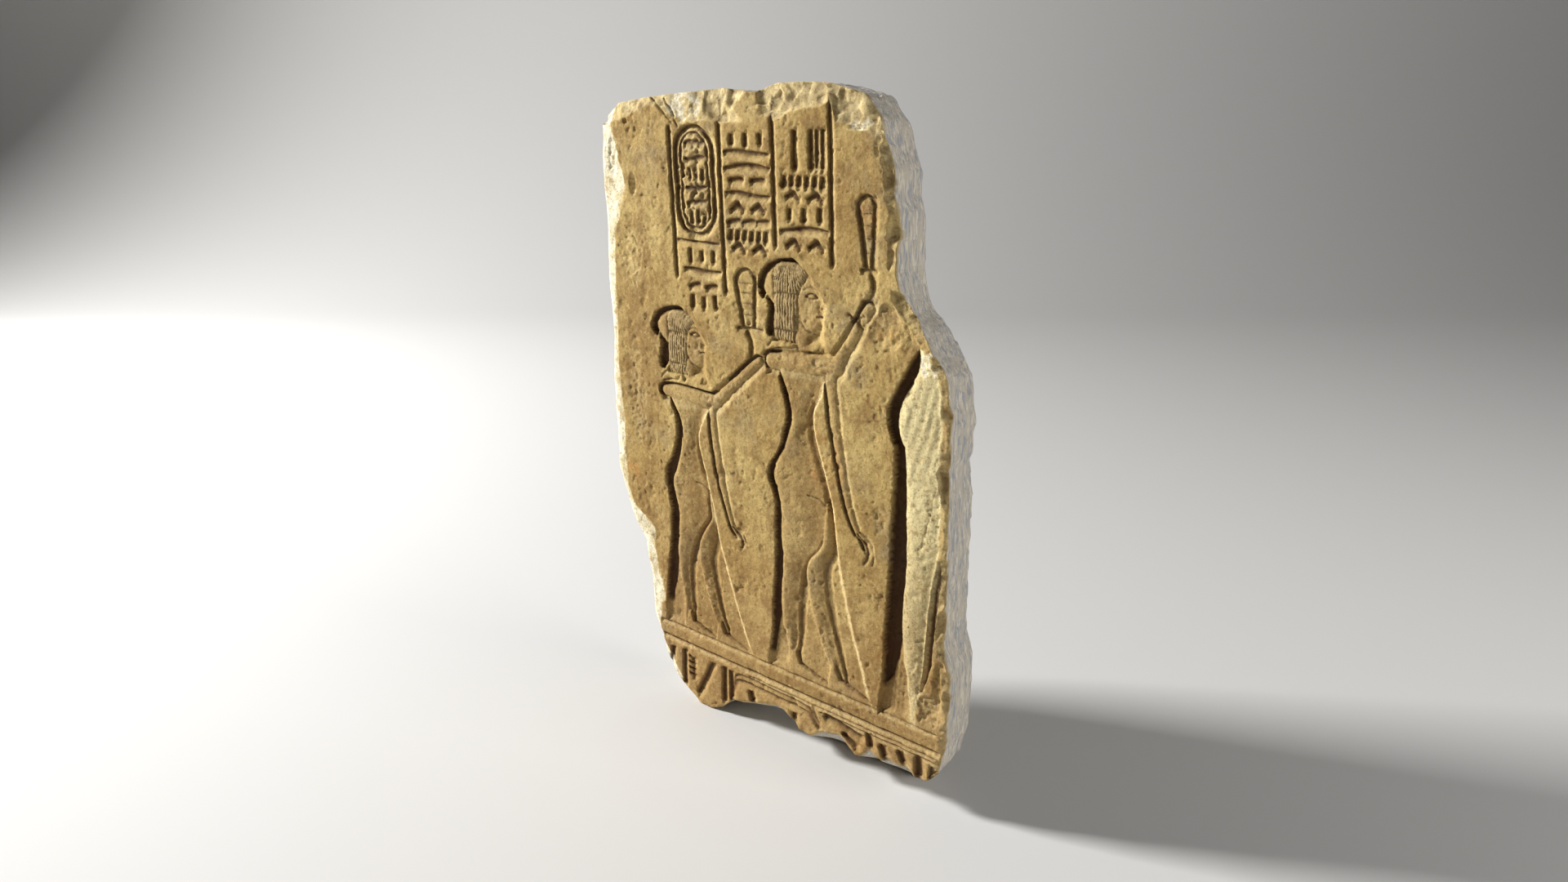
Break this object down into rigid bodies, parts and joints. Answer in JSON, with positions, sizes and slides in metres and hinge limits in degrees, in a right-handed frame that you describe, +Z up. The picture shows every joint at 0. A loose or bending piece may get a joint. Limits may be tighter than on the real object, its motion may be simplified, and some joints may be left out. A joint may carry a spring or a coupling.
{
  "type": "carved stone stele",
  "caption": "Broken upright limestone slab with a sunk relief of robed women raising rattles under columns of plain strokes.",
  "frame": {"origin": "centre of the footprint's box, on the ground under the slab as it stands", "axes": "+Z up, +X to the right of a viewer who faces the relief, the carved face looks along -Y"},
  "size_m": [0.3614, 0.045, 0.5615],
  "materials": {
    "limestone": "weathered, matte, ochre to cream"
  },
  "bodies": {
    "root": {"stele_slab": "limestone"}
  },
  "joints": []
}
